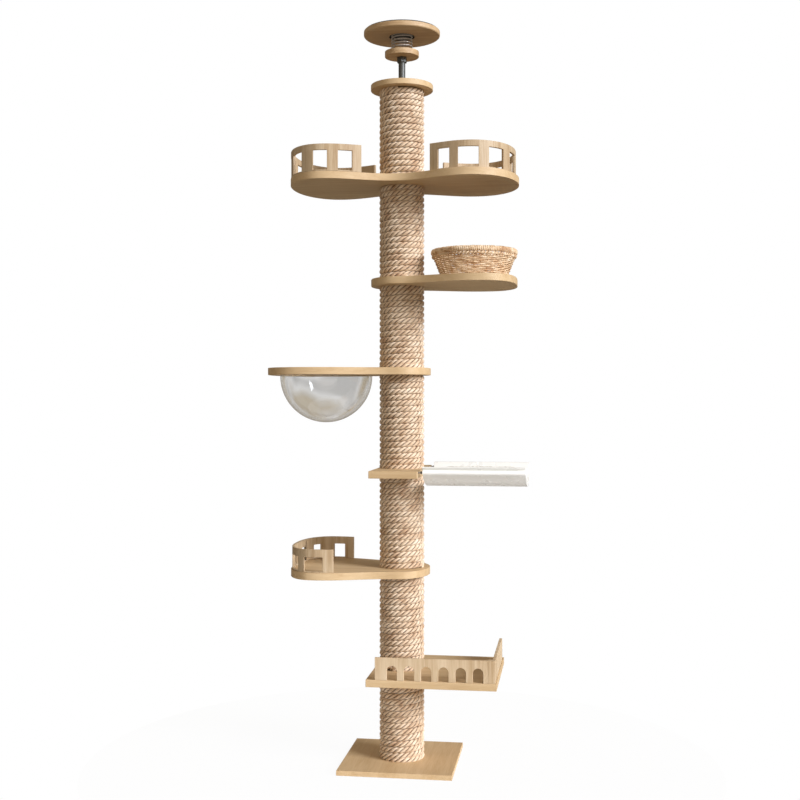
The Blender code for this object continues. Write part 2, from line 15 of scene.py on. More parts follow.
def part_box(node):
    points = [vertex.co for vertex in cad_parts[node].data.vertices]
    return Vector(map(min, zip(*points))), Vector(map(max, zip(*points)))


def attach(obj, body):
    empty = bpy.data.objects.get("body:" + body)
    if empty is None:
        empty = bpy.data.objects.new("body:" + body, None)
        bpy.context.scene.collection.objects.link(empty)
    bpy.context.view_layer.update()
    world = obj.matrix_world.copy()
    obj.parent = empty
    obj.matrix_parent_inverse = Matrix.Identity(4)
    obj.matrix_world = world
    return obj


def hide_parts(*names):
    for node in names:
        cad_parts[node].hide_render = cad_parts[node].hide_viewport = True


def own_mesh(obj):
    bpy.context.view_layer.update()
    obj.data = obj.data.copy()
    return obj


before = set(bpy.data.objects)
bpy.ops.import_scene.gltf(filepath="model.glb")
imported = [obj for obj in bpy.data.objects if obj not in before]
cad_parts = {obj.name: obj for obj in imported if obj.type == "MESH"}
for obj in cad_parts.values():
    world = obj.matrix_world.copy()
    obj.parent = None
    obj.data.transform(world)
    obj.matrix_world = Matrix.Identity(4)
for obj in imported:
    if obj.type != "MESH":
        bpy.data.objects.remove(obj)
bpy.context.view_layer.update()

LOG = logging.getLogger("cat_tree")
MM = 0.001
TURN = 2 * math.pi
STRAND_LEAN = "strand_lean"
Colour = tuple[float, float, float, float]


class Body(Enum):
    """The CAD bodies that pieces ride on."""

    STAND = "stand"
    JACK = "jack"
    SCREW = "screw"
    CEILING = "ceiling_plate"
    BOWL = "bowl"
    BASKET = "basket"


class Grain(Enum):
    """The direction that wood grain runs in, as the share of the cross-grain frequency on each axis."""

    ALONG_X = (0.0, 1.0, 1.0)
    ALONG_Y = (1.0, 0.0, 1.0)
    ALONG_Z = (1.0, 1.0, 0.0)


# --- Shader helpers -------------------------------------------------------------------------------
def linear(code: str) -> Colour:
    """Turns an sRGB hex colour into linear light.

    Args:
        code: A colour such as "#C8B083".

    Returns:
        Red, green, blue and an alpha of one.
    """
    parts = [int(code[i:i + 2], 16) / 255 for i in (1, 3, 5)]
    red, green, blue = (p / 12.92 if p <= 0.04045 else ((p + 0.055) / 1.055) ** 2.4 for p in parts)
    return red, green, blue, 1.0


def add_node(tree: bpy.types.NodeTree, kind: str, inputs: dict | None = None,
             stops: Sequence[tuple[float, Colour]] = (), **settings) -> bpy.types.Node:
    """Adds a shader node with its settings and links.

    Args:
        tree: The node tree that takes the node.
        kind: The node's type name.
        inputs: Values, or sockets to link, by the input's name or place.
        stops: Places and colours of a colour ramp.
        settings: Properties of the node itself.

    Returns:
        The new node.
    """
    node = tree.nodes.new(kind)
    for name, value in settings.items():
        setattr(node, name, value)
    for key, value in (inputs or {}).items():
        if isinstance(value, bpy.types.NodeSocket):
            tree.links.new(value, node.inputs[key])
        else:
            node.inputs[key].default_value = value
    if stops:
        ramp = node.color_ramp
        ramp.elements.remove(ramp.elements[1])
        ramp.elements[0].position, ramp.elements[0].color = stops[0]
        for place, colour in stops[1:]:
            ramp.elements.new(place).color = colour
    return node


# --- Finishes -------------------------------------------------------------------------------------
@dataclass(frozen=True)
class Finish:
    """A surface finish that makes its own material once."""

    name: str

    def material(self) -> bpy.types.Material:
        """Makes the finish's material at its first use.

        Returns:
            The material.
        """
        made = bpy.data.materials.get(self.name)
        if made is None:
            made = bpy.data.materials.new(self.name)
            made.use_nodes = True
            made.node_tree.nodes.clear()
            shader = self.shader(made.node_tree)
            add_node(made.node_tree, "ShaderNodeOutputMaterial", {"Surface": shader.outputs[0]})
        return made

    def shader(self, tree: bpy.types.NodeTree) -> bpy.types.Node:
        """Adds the finish's nodes.

        Args:
            tree: The material's node tree.

        Returns:
            The shader node.
        """
        raise NotImplementedError


@dataclass(frozen=True)
class OakFoil(Finish):
    """Oak-print foil on board, satin lacquered: soft straight bands with fine darker pores, low gloss."""

    grain: Grain = Grain.ALONG_X
    light: str = "#D6BA91"
    middle: str = "#CFB288"
    dark: str = "#C5A67B"
    band_mm: float = 24.0
    pore_mm: float = 3.0
    stretch: float = 18.0

    def shader(self, tree: bpy.types.NodeTree) -> bpy.types.Node:
        """Adds bands, pores and slow clouding along the grain.

        Args:
            tree: The material's node tree.

        Returns:
            The shader node.
        """
        place = add_node(tree, "ShaderNodeTexCoord").outputs["Object"]
        layers = []
        for size, detail, bend in ((self.band_mm, 3.0, 0.7), (self.pore_mm, 2.0, 0.1)):
            across = 1000 / size
            scale = tuple(across * (share or 1 / self.stretch) for share in self.grain.value)
            spot = add_node(tree, "ShaderNodeMapping", {"Vector": place, "Scale": scale})
            noise_node = add_node(tree, "ShaderNodeTexNoise", {
                "Vector": spot.outputs[0], "Scale": 1.0, "Detail": detail, "Distortion": bend})
            layers.append(noise_node.outputs["Fac"])
        cloud = add_node(tree, "ShaderNodeTexNoise", {
            "Vector": place, "Scale": 1000 / 160, "Detail": 2.0}).outputs["Fac"]
        fine = add_node(tree, "ShaderNodeMix", {0: 0.3, 2: layers[0], 3: layers[1]}).outputs[0]
        blend = add_node(tree, "ShaderNodeMix", {0: 0.25, 2: fine, 3: cloud}).outputs[0]
        colour = add_node(tree, "ShaderNodeValToRGB", {"Fac": blend}, stops=(
            (0.36, linear(self.dark)), (0.5, linear(self.middle)), (0.63, linear(self.light))))
        rough = add_node(tree, "ShaderNodeMapRange", {
            "Value": layers[1], "From Min": 0.3, "From Max": 0.7, "To Min": 0.62, "To Max": 0.48})
        bump = add_node(tree, "ShaderNodeBump", {
            "Height": layers[1], "Strength": 0.25, "Distance": 0.3 * MM})
        return add_node(tree, "ShaderNodeBsdfPrincipled", {
            "Base Color": colour.outputs["Color"], "Roughness": rough.outputs[0], "IOR": 1.5,
            "Normal": bump.outputs[0]})


@dataclass(frozen=True)
class TwistedSisal(Finish):
    """Natural sisal fibre laid into strands: dry, straw-coloured, streaked, with brown painted shade in the
    grooves between strands and turns.
    """

    light: str = "#F5E4CE"
    middle: str = "#DFC6A8"
    dark: str = "#B48F6E"
    # The colour of the painted shade in the grooves.
    shade: str = "#54341E"
    strand_m: float = 8.0
    streak_mm: float = 60.0
    fibre_mm: float = 1.6
    strand_round_mm: float = 29.0
    deep_mm: float = 60.0
    crown_mm: float = 69.5
    groove_lean: float = -0.42
    crown_lean: float = 0.56

    def shader(self, tree: bpy.types.NodeTree) -> bpy.types.Node:
        """Adds fibre streaks along each strand, and painted shade in the grooves between strands and where
        the turns meet.

        Args:
            tree: The material's node tree.

        Returns:
            The shader node.
        """
        coords = add_node(tree, "ShaderNodeTexCoord")
        along = add_node(tree, "ShaderNodeMapping", {
            "Vector": coords.outputs["UV"],
            "Scale": (1000 * self.strand_m / self.streak_mm, self.strand_round_mm / self.fibre_mm, 1.0)})
        streak = add_node(tree, "ShaderNodeTexNoise", {
            "Vector": along.outputs[0], "Scale": 1.0, "Detail": 3.0, "Distortion": 0.3}).outputs["Fac"]
        patch = add_node(tree, "ShaderNodeTexNoise", {
            "Vector": coords.outputs["Object"], "Scale": 1000 / 34, "Detail": 3.0}).outputs["Fac"]
        blend = add_node(tree, "ShaderNodeMix", {0: 0.45, 2: streak, 3: patch}).outputs[0]
        colour = add_node(tree, "ShaderNodeValToRGB", {"Fac": blend}, stops=(
            (0.36, linear(self.dark)), (0.5, linear(self.middle)), (0.62, linear(self.light))))
        # Painted shade: darker towards the pipe where the turns meet, and where a strand leans into the
        # groove beside the next.
        flat = add_node(tree, "ShaderNodeVectorMath", {
            0: coords.outputs["Object"], 1: (1.0, 1.0, 0.0)}, operation="MULTIPLY")
        reach = add_node(tree, "ShaderNodeVectorMath", {0: flat.outputs[0]}, operation="LENGTH")
        crown = add_node(tree, "ShaderNodeMapRange", {
            "Value": reach.outputs["Value"], "From Min": self.deep_mm * MM, "From Max": self.crown_mm * MM})
        lean = add_node(tree, "ShaderNodeAttribute", attribute_name=STRAND_LEAN)
        laid = add_node(tree, "ShaderNodeMapRange", {
            "Value": lean.outputs["Fac"], "From Min": self.groove_lean, "From Max": self.crown_lean})
        unshaded = add_node(tree, "ShaderNodeMath", {
            0: crown.outputs[0], 1: laid.outputs[0]}, operation="MULTIPLY")
        # Mixes in the painted shade colour where the unshaded share is low.
        darkened = add_node(tree, "ShaderNodeMix", {
            0: unshaded.outputs[0], 6: linear(self.shade), 7: colour.outputs["Color"]}, data_type="RGBA")
        bump = add_node(tree, "ShaderNodeBump", {"Height": streak, "Strength": 0.5, "Distance": 0.5 * MM})
        return add_node(tree, "ShaderNodeBsdfPrincipled", {
            "Base Color": darkened.outputs[2], "Roughness": 0.9, "IOR": 1.45, "Normal": bump.outputs[0],
            "Sheen Weight": 0.15, "Sheen Roughness": 0.5})


@dataclass(frozen=True)
class SplitWillow(Finish):
    """Split willow rods, unvarnished: each rod its own tan, with darker skin and a faint dry sheen."""

    light: str = "#EFD9BC"
    middle: str = "#DDC09B"
    dark: str = "#BA9068"
    rod_mm: float = 9.0
    fibre_mm: float = 2.2

    def shader(self, tree: bpy.types.NodeTree) -> bpy.types.Node:
        """Adds the change of tone from rod to rod and fibre lines round each row.

        Args:
            tree: The material's node tree.

        Returns:
            The shader node.
        """
        place = add_node(tree, "ShaderNodeTexCoord").outputs["Object"]
        patch = add_node(tree, "ShaderNodeTexNoise", {
            "Vector": place, "Scale": 1000 / self.rod_mm / 2.4, "Detail": 2.0}).outputs["Fac"]
        rows = add_node(tree, "ShaderNodeMapping", {
            "Vector": place, "Scale": (60.0, 60.0, 1000 / self.fibre_mm)})
        fibre = add_node(tree, "ShaderNodeTexNoise", {
            "Vector": rows.outputs[0], "Scale": 1.0, "Detail": 2.0}).outputs["Fac"]
        blend = add_node(tree, "ShaderNodeMix", {0: 0.4, 2: patch, 3: fibre}).outputs[0]
        colour = add_node(tree, "ShaderNodeValToRGB", {"Fac": blend}, stops=(
            (0.38, linear(self.dark)), (0.5, linear(self.middle)), (0.62, linear(self.light))))
        bump = add_node(tree, "ShaderNodeBump", {"Height": fibre, "Strength": 0.3, "Distance": 0.3 * MM})
        return add_node(tree, "ShaderNodeBsdfPrincipled", {
            "Base Color": colour.outputs["Color"], "Roughness": 0.6, "IOR": 1.5,
            "Normal": bump.outputs[0]})


@dataclass(frozen=True)
class Acrylic(Finish):
    """Polished cast acrylic: glossy and clear, or milky with a painted glow where it is opal."""

    tint: str = "#F2F3F4"
    clear: float = 1.0
    gloss: float = 0.02
    # Painted glow: emission in the tint's colour that makes the opal trough and the hem look lit from within.
    glow: float = 0.0
    smear_mm: float = 45.0

    def shader(self, tree: bpy.types.NodeTree) -> bpy.types.Node:
        """Adds a clear shader whose roughness drifts a little, as on wiped plastic, and a painted glow.

        Args:
            tree: The material's node tree.

        Returns:
            The shader node.
        """
        place = add_node(tree, "ShaderNodeTexCoord").outputs["Object"]
        smear = add_node(tree, "ShaderNodeTexNoise", {
            "Vector": place, "Scale": 1000 / self.smear_mm, "Detail": 3.0}).outputs["Fac"]
        rough = add_node(tree, "ShaderNodeMapRange", {
            "Value": smear, "From Min": 0.3, "From Max": 0.7, "To Min": self.gloss, "To Max": self.gloss * 2})
        return add_node(tree, "ShaderNodeBsdfPrincipled", {
            "Base Color": linear(self.tint), "Roughness": rough.outputs[0], "IOR": 1.49,
            "Transmission Weight": self.clear, "Emission Color": linear(self.tint),
            "Emission Strength": self.glow})


@dataclass(frozen=True)
class Plush(Finish):
    """Short-pile polyester plush: matt off-white with soft lumps, painted lighter on their tops and with
    painted shade in the dips between them.
    """

    light: str = "#F3F2EC"
    dark: str = "#CBCAC2"
    tuft_mm: float = 7.0
    pile_mm: float = 1.4

    def shader(self, tree: bpy.types.NodeTree) -> bpy.types.Node:
        """Adds tufts, fine pile and the rim sheen of short fur.

        Args:
            tree: The material's node tree.

        Returns:
            The shader node.
        """
        place = add_node(tree, "ShaderNodeTexCoord").outputs["Object"]
        tufts = add_node(tree, "ShaderNodeTexNoise", {
            "Vector": place, "Scale": 1000 / self.tuft_mm / 2, "Detail": 4.0,
            "Distortion": 1.2}).outputs["Fac"]
        pile = add_node(tree, "ShaderNodeTexNoise", {
            "Vector": place, "Scale": 1000 / self.pile_mm / 2, "Detail": 2.0}).outputs["Fac"]
        height = add_node(tree, "ShaderNodeMix", {0: 0.35, 2: tufts, 3: pile}).outputs[0]
        # Painted shade: the colour follows the bump height, darker in the dips and lighter on the tops of the
        # tufts.
        colour = add_node(tree, "ShaderNodeValToRGB", {"Fac": height}, stops=(
            (0.38, linear(self.dark)), (0.6, linear(self.light))))
        bump = add_node(tree, "ShaderNodeBump", {"Height": height, "Strength": 0.7, "Distance": 2.5 * MM})
        return add_node(tree, "ShaderNodeBsdfPrincipled", {
            "Base Color": colour.outputs["Color"], "Roughness": 0.95, "Normal": bump.outputs[0],
            "Sheen Weight": 0.4, "Sheen Roughness": 0.4})


@dataclass(frozen=True)
class Metal(Finish):
    """Drawn or plated steel: bright or blackened, with fine lengthwise draw lines in its gloss."""

    tone: str = "#BDB9B6"
    darkened: str = "#A7A29E"
    gloss: float = 0.28
    metallic: float = 1.0
    line_mm: float = 1.2

    def shader(self, tree: bpy.types.NodeTree) -> bpy.types.Node:
        """Adds a metal with slightly uneven tone and roughness.

        Args:
            tree: The material's node tree.

        Returns:
            The shader node.
        """
        place = add_node(tree, "ShaderNodeTexCoord").outputs["Object"]
        lines = add_node(tree, "ShaderNodeTexNoise", {
            "Vector": place, "Scale": 1000 / self.line_mm / 4, "Detail": 2.0}).outputs["Fac"]
        colour = add_node(tree, "ShaderNodeValToRGB", {"Fac": lines}, stops=(
            (0.4, linear(self.darkened)), (0.6, linear(self.tone))))
        rough = add_node(tree, "ShaderNodeMapRange", {
            "Value": lines, "From Min": 0.3, "From Max": 0.7,
            "To Min": self.gloss, "To Max": self.gloss + 0.12})
        return add_node(tree, "ShaderNodeBsdfPrincipled", {
            "Base Color": colour.outputs["Color"], "Roughness": rough.outputs[0],
            "Metallic": self.metallic})


@dataclass(frozen=True)
class Moulded(Finish):
    """Extruded pipe, moulded rubber or sawn plug wood: one matt tone with a fine speckle."""

    tone: str = "#B9B9BA"
    speck: str = "#A9A9AA"
    rough: float = 0.5
    speck_mm: float = 2.0

    def shader(self, tree: bpy.types.NodeTree) -> bpy.types.Node:
        """Adds the speckle and a matching fine bump.

        Args:
            tree: The material's node tree.

        Returns:
            The shader node.
        """
        place = add_node(tree, "ShaderNodeTexCoord").outputs["Object"]
        speck = add_node(tree, "ShaderNodeTexNoise", {
            "Vector": place, "Scale": 1000 / self.speck_mm / 2, "Detail": 3.0}).outputs["Fac"]
        colour = add_node(tree, "ShaderNodeValToRGB", {"Fac": speck}, stops=(
            (0.4, linear(self.speck)), (0.6, linear(self.tone))))
        bump = add_node(tree, "ShaderNodeBump", {"Height": speck, "Strength": 0.2, "Distance": 0.2 * MM})
        return add_node(tree, "ShaderNodeBsdfPrincipled", {
            "Base Color": colour.outputs["Color"], "Roughness": self.rough, "Normal": bump.outputs[0]})


@dataclass(frozen=True)
class LitFloor(Moulded):
    """Matt white paint lit from all round by the studio, so what stands on it hardly shades it."""

    glow: float = 0.96

    def shader(self, tree: bpy.types.NodeTree) -> bpy.types.Node:
        """Adds the paint, with the studio's own glow over it for the eye alone.

        Args:
            tree: The material's node tree.

        Returns:
            The shader node.
        """
        paint = super().shader(tree)
        glow = add_node(tree, "ShaderNodeEmission", {"Color": (1, 1, 1, 1), "Strength": 1.0})
        path = add_node(tree, "ShaderNodeLightPath")
        share = add_node(tree, "ShaderNodeMath", {
            0: path.outputs["Is Camera Ray"], 1: self.glow}, operation="MULTIPLY")
        return add_node(tree, "ShaderNodeMixShader", {
            0: share.outputs[0], 1: paint.outputs[0], 2: glow.outputs[0]})


BOARD_TOP = OakFoil("oak_foil_board", Grain.ALONG_X)
BASE_TOP = OakFoil("oak_foil_base", Grain.ALONG_Y)
BOARD_EDGE = OakFoil("oak_foil_edge_band", Grain.ALONG_Z, "#DCC7A8", "#CEB694", "#BEA27E", 13.0)
FENCE_FACE = OakFoil("oak_foil_fence", Grain.ALONG_Z, "#DCC7A8", "#CEB694", "#B99C76", 17.0)
BENT_FENCE = OakFoil("oak_foil_bent_fence", Grain.ALONG_Z, "#CDB99B", "#C0A988", "#AC906D", 17.0)
# A darker tone of the oak foil, for the spring seat and the ceiling disc.
DARKER_OAK = OakFoil("oak_foil_darker", Grain.ALONG_X, "#CDB18B", "#C2A37A", "#AC8A63")
BASE_EDGE = OakFoil("oak_foil_base_edge", Grain.ALONG_Z, "#BDA688", "#B09979", "#A08766", 13.0)
SISAL = TwistedSisal("sisal_three_strand")
WILLOW = SplitWillow("willow_split_woven")
CLEAR = Acrylic("acrylic_cast_clear")
# The opal trough and the milky hem get a painted glow through their emission.
OPAL = Acrylic("acrylic_thermoformed_opal", "#E0E0DD", 0.1, 0.2, 0.27)
HEM = Acrylic("acrylic_hem_milky", "#E8E8E6", 0.0, 0.3, 0.3)
FLEECE = Plush("plush_short_pile")
ZINC = Metal("steel_zinc_plated")
SPRING_STEEL = Metal("steel_spring_wire", "#DEDAD7", "#CCC7C3", 0.34, 0.55)
BLACK_STEEL = Metal("steel_black_coated", "#5C5E5C", "#4D4E4D", 0.4, 0.5)
PIPE = Moulded("pvc_pipe_extruded")
PLUG_WOOD = Moulded("beech_plug_turned", "#D9B98C", "#C6A273", 0.6, 3.0)
FLOOR_PAINT = LitFloor("floor_painted_pale", "#FAFAFA", "#F7F7F7", 0.9, 30.0)
RUBBER = Moulded("rubber_pad_foamed", "#4A4846", "#3D3B3A", 0.85, 1.5)


# --- Shape helpers --------------------------------------------------------------------------------
def add_piece(name: str, mesh: bpy.types.Mesh, body: Body, nodes: Iterable[str] = (),
              finishes: Sequence[Finish] = ()) -> bpy.types.Object:
    """Links a finished mesh as a piece that rides on a body.

    Args:
        name: The piece's name.
        mesh: Its mesh, in place.
        body: The body that carries it.
        nodes: The CAD nodes that it stands for.
        finishes: Its finishes, in the order of the faces' material numbers.

    Returns:
        The new object.
    """
    mesh.materials.clear()
    for finish in finishes:
        mesh.materials.append(finish.material())
    item = bpy.data.objects.new(name, mesh)
    bpy.context.scene.collection.objects.link(item)
    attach(item, body.value)
    if nodes:
        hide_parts(*nodes)
    LOG.info("%s rides on %s, %d faces", name, body.value, len(mesh.polygons))
    return item


def dress_node(node: str, finish: Finish) -> None:
    """Gives a CAD node that stays a finish of its own.

    Args:
        node: The CAD node's name.
        finish: Its finish.
    """
    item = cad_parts[node]
    for holder in item.material_slots:
        holder.link = "OBJECT"
        holder.material = finish.material()


def to_mesh(bm: bmesh.types.BMesh, name: str) -> bpy.types.Mesh:
    """Turns a bmesh into a smooth-shaded mesh and frees it.

    Args:
        bm: The shape.
        name: The mesh's name.

    Returns:
        The mesh.
    """
    for face in bm.faces:
        face.smooth = True
    mesh = bpy.data.meshes.new(name)
    bm.to_mesh(mesh)
    bm.free()
    return mesh


def even_shading(item: bpy.types.Object) -> bpy.types.Object:
    """Keeps broad faces flat in the light between their rounded corners.

    Args:
        item: A piece with rounded corners.

    Returns:
        The same piece.
    """
    weighted = item.modifiers.new("even_shading", "WEIGHTED_NORMAL")
    weighted.mode = "FACE_AREA"
    weighted.weight = 100
    return item


def rounded_copy(node: str, rounding: float, segments: int = 3, crease: float = 32.0) -> bmesh.types.BMesh:
    """Copies a CAD node and rounds its corners as a router leaves them.

    Args:
        node: The CAD node's name.
        rounding: The radius of the rounding, in metres.
        segments: The facets across it.
        crease: The least angle of a corner, in degrees.

    Returns:
        The rounded shape.
    """
    bm = bmesh.new()
    bm.from_mesh(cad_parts[node].data)
    bmesh.ops.remove_doubles(bm, verts=bm.verts, dist=1e-6)
    bmesh.ops.dissolve_limit(bm, angle_limit=math.radians(0.6), verts=bm.verts, edges=bm.edges)
    corners = [e for e in bm.edges
               if len(e.link_faces) == 2 and e.calc_face_angle(0.0) > math.radians(crease)]
    bmesh.ops.bevel(bm, geom=corners, offset=rounding, offset_type="OFFSET", segments=segments,
                    profile=0.5, affect="EDGES", clamp_overlap=False, material=-1)
    return bm


def round_bar(centre: Vector, length: float, radius: float, rounding: float,
              segments: int = 24) -> bmesh.types.BMesh:
    """Makes a round bar along X with rounded ends.

    Args:
        centre: The bar's middle.
        length: Its length, in metres.
        radius: Its radius.
        rounding: The radius of the rounding at its ends.
        segments: The facets round it.

    Returns:
        The bar.
    """
    bm = bmesh.new()
    bmesh.ops.create_cone(bm, cap_ends=True, segments=segments, radius1=radius, radius2=radius, depth=length,
                          matrix=Matrix.Translation(centre) @ Matrix.Rotation(math.pi / 2, 4, "Y"))
    caps = [e for e in bm.edges if e.calc_face_angle(0.0) > 1.0]
    bmesh.ops.bevel(bm, geom=caps, offset=rounding, offset_type="OFFSET", segments=3, profile=0.5,
                    affect="EDGES", material=-1)
    return bm


def curve_mesh(name: str, lines: Sequence[Sequence[tuple[Vector, float]]], radius: float,
               sides: int, closed: bool = False) -> bpy.types.Mesh:
    """Sweeps a round section along lines of points.

    Args:
        name: The mesh's name.
        lines: Each line's points, each with a share of the radius.
        radius: The section's radius, in metres.
        sides: The section's sides, an even number from 4.
        closed: True if each line joins its own start.

    Returns:
        The swept mesh.
    """
    curve = bpy.data.curves.new(name, "CURVE")
    curve.dimensions = "3D"
    curve.bevel_depth = radius
    curve.bevel_resolution = (sides - 4) // 2
    curve.use_fill_caps = not closed
    for line in lines:
        spline = curve.splines.new("POLY")
        spline.points.add(len(line) - 1)
        spline.points.foreach_set("co", [c for point, _ in line for c in (*point, 1.0)])
        spline.points.foreach_set("radius", [share for _, share in line])
        spline.use_cyclic_u = closed
    holder = bpy.data.objects.new(name, curve)
    bpy.context.scene.collection.objects.link(holder)
    graph = bpy.context.evaluated_depsgraph_get()
    mesh = bpy.data.meshes.new_from_object(holder.evaluated_get(graph))
    bpy.data.objects.remove(holder)
    for face in mesh.polygons:
        face.use_smooth = True
    return mesh


def thicken_sheet(bm: bmesh.types.BMesh, wall: float) -> None:
    """Gives an open sheet a wall on the side its faces turn from, and rounds the lips.

    Args:
        bm: The sheet, with its faces outwards.
        wall: The wall's thickness, in metres.
    """
    bmesh.ops.solidify(bm, geom=bm.faces[:], thickness=wall)
    lips = [e for e in bm.edges if len(e.link_faces) == 2 and e.calc_face_angle(0.0) > math.radians(60)]
    rounding = 0.3 * wall
    bmesh.ops.bevel(bm, geom=lips, offset=rounding, offset_type="OFFSET", segments=3, profile=0.5,
                    affect="EDGES", clamp_overlap=True, material=-1)


def bake_modifiers(item: bpy.types.Object) -> None:
    """Replaces a piece's mesh with what its modifiers make of it.

    Args:
        item: The piece.
    """
    graph = bpy.context.evaluated_depsgraph_get()
    mesh = bpy.data.meshes.new_from_object(item.evaluated_get(graph))
    item.modifiers.clear()
    item.data = mesh


def inflate(item: bpy.types.Object, pressure: float, frames: int) -> None:
    """Swells a closed piece with a short cloth simulation and keeps the result.

    Args:
        item: The piece, with an even mesh.
        pressure: The air pressure inside it.
        frames: The number of frames to run.
    """
    scene = bpy.context.scene
    cloth = item.modifiers.new("stuffing", "CLOTH")
    cloth.settings.use_pressure = True
    cloth.settings.uniform_pressure_force = pressure
    cloth.settings.effector_weights.gravity = 0
    cloth.point_cache.frame_start, cloth.point_cache.frame_end = 1, frames
    for number in range(1, frames + 1):
        scene.frame_set(number)
    bake_modifiers(item)
    scene.frame_set(1)


# --- Sub-assemblies -------------------------------------------------------------------------------
@dataclass
class Board:
    """A flat board with its edge band, and the fences that stand on it."""

    node: str
    top: OakFoil = BOARD_TOP
    edge: OakFoil = BOARD_EDGE
    body: Body = Body.STAND
    rounding: float = 1.2 * MM
    fences: tuple[str, ...] = ()
    fence_face: OakFoil = FENCE_FACE
    fence_rounding: float = 1.0 * MM

    def build(self) -> None:
        """Makes the board and its fences."""
        bm = rounded_copy(self.node, self.rounding)
        for face in bm.faces:
            face.material_index = 0 if abs(face.normal.z) > 0.7 else 1
        even_shading(add_piece(f"{self.node}_look", to_mesh(bm, self.node), self.body,
                               [self.node], [self.top, self.edge]))
        for fence in self.fences:
            mesh = to_mesh(rounded_copy(fence, self.fence_rounding, 2), fence)
            even_shading(add_piece(f"{fence}_look", mesh, self.body, [fence],
                                   [self.fence_face]))


@dataclass
class RopeColumn:
    """Seven lengths of pipe wound with three-strand sisal rope, and what joins them inside."""

    count: int = 7
    rope_radius: float = 9.8 * MM
    centre_radius: float = 66.2 * MM
    strand_radius: float = 4.9 * MM
    strand_sides: int = 8
    strand_offset: float = 5.2 * MM
    flatness: float = 0.85
    fullness: float = 1.08
    turn_rise: float = 19.6 * MM
    lay: float = 54.0 * MM
    points_per_lay: int = 11
    spare_turns: float = 0.85
    wander: float = 0.5 * MM
    strays: int = 260
    stray_root: float = 73.5 * MM
    stray_inset: float = 4.0 * MM

    def build(self) -> None:
        """Makes the rope of each length and dresses the pipes, plugs and studs."""
        for index in range(1, self.count + 1):
            node = f"sisal_sleeve_{index}"
            low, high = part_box(node)
            strands, core = self.strands(low.z, high.z, index)
            lines = strands + self.stray_fibres(low.z, high.z, index)
            mesh = curve_mesh(f"sisal_rope_{index}", lines, self.strand_radius, self.strand_sides)
            self.mark_lean(mesh, strands, core)
            add_piece(f"sisal_rope_{index}", mesh, Body.STAND, [node], [SISAL])
            dress_node(f"core_tube_{index}", PIPE)
            for end in ("lower", "upper"):
                dress_node(f"tube_plug_{index}_{end}", PLUG_WOOD)
        for place in ("base", "tray", "lookout", "hammock", "bowl", "basket", "twin"):
            dress_node(f"{place}_stud", ZINC)

    def mark_lean(self, mesh: bpy.types.Mesh, strands: list[list[tuple[Vector, float]]],
                  core: list[Vector]) -> None:
        """Stores how squarely each vertex of the strands faces away from the rope's own centre.

        Args:
            mesh: The rope's mesh.
            strands: The strands' points and radius shares.
            core: The rope's centre at each of a strand's points.
        """
        points = [point for strand in strands for point, _ in strand]
        aways = [(point - core[index % len(core)]).normalized() for index, point in enumerate(points)]
        tree = kdtree.KDTree(len(points))
        for index, point in enumerate(points):
            tree.insert(point, index)
        tree.balance()
        leans = []
        for vertex in mesh.vertices:
            point, index, _ = tree.find(vertex.co)
            leans.append((vertex.co - point).dot(aways[index]) / self.strand_radius)
        # The sisal shader paints shade into the grooves from this lean.
        mesh.attributes.new(STRAND_LEAN, "FLOAT", "POINT").data.foreach_set("value", leans)

    def strands(self, low: float, high: float,
                seed: int) -> tuple[list[list[tuple[Vector, float]]], list[Vector]]:
        """Works out the three strands of one length of rope.

        Args:
            low: The height of the length's lower end.
            high: The height of its upper end.
            seed: The length's number, which varies the rope.

        Returns:
            The points and radius shares of each strand, and the rope's centre at each of them.
        """
        turns = max(1, round((high - low - 2 * self.rope_radius) / self.turn_rise))
        rise = (high - low - 2 * self.rope_radius) / turns
        around = TURN * self.centre_radius
        wound_turns = turns + 2 * self.spare_turns
        steps = int(wound_turns * around / self.lay * self.points_per_lay)
        sunk = 0.55 * self.rope_radius
        lines: list[list[tuple[Vector, float]]] = [[], [], []]
        core: list[Vector] = []
        for step in range(steps + 1):
            wound = -self.spare_turns + wound_turns * step / steps
            angle = TURN * wound + seed * 1.7
            height = low + self.rope_radius + rise * wound
            height = min(max(height, low + sunk), high - sunk)
            wander = noise.noise(Vector((wound * 5.1, seed * 7.3, 0.0)))
            height += self.wander * wander
            swell = 1 + 0.05 * noise.noise(Vector((wound * 9.7, seed * 3.1, 4.0)))
            outward = Vector((math.cos(angle), math.sin(angle), 0.0))
            core.append(outward * self.centre_radius + Vector((0.0, 0.0, height)))
            for strand, line in enumerate(lines):
                phase = TURN * (wound * around / self.lay + strand / 3) + 0.35 * wander
                out = self.centre_radius + self.flatness * self.strand_offset * math.cos(phase)
                up = self.fullness * self.strand_offset * math.sin(phase)
                line.append((outward * out + Vector((0.0, 0.0, height + up)), swell))
        return lines, core

    def stray_fibres(self, low: float, high: float, seed: int) -> list[list[tuple[Vector, float]]]:
        """Works out fine fibres that stand off the rope, as dry sisal sheds them.

        Args:
            low: The height of the length's lower end.
            high: The height of its upper end.
            seed: The length's number, which sets the fibres' places.

        Returns:
            The points and radius shares of each fibre.
        """
        chance = random.Random(seed)
        fibres = []
        for _ in range(self.strays):
            angle = chance.uniform(0, TURN)
            height = chance.uniform(low + self.stray_inset, high - self.stray_inset)
            lean = chance.choice((-1, 1)) * chance.uniform(0.03, 0.1)
            climb = chance.uniform(-4, 4) * MM
            proud = chance.uniform(1.0, 4.0) * MM
            line = []
            for share in (0.0, 0.5, 1.0):
                out = self.stray_root + proud * share
                turned = angle + lean * share
                line.append((Vector((math.cos(turned) * out, math.sin(turned) * out,
                                     height + climb * share * share)), 0.05 - 0.03 * share))
            fibres.append(line)
        return fibres


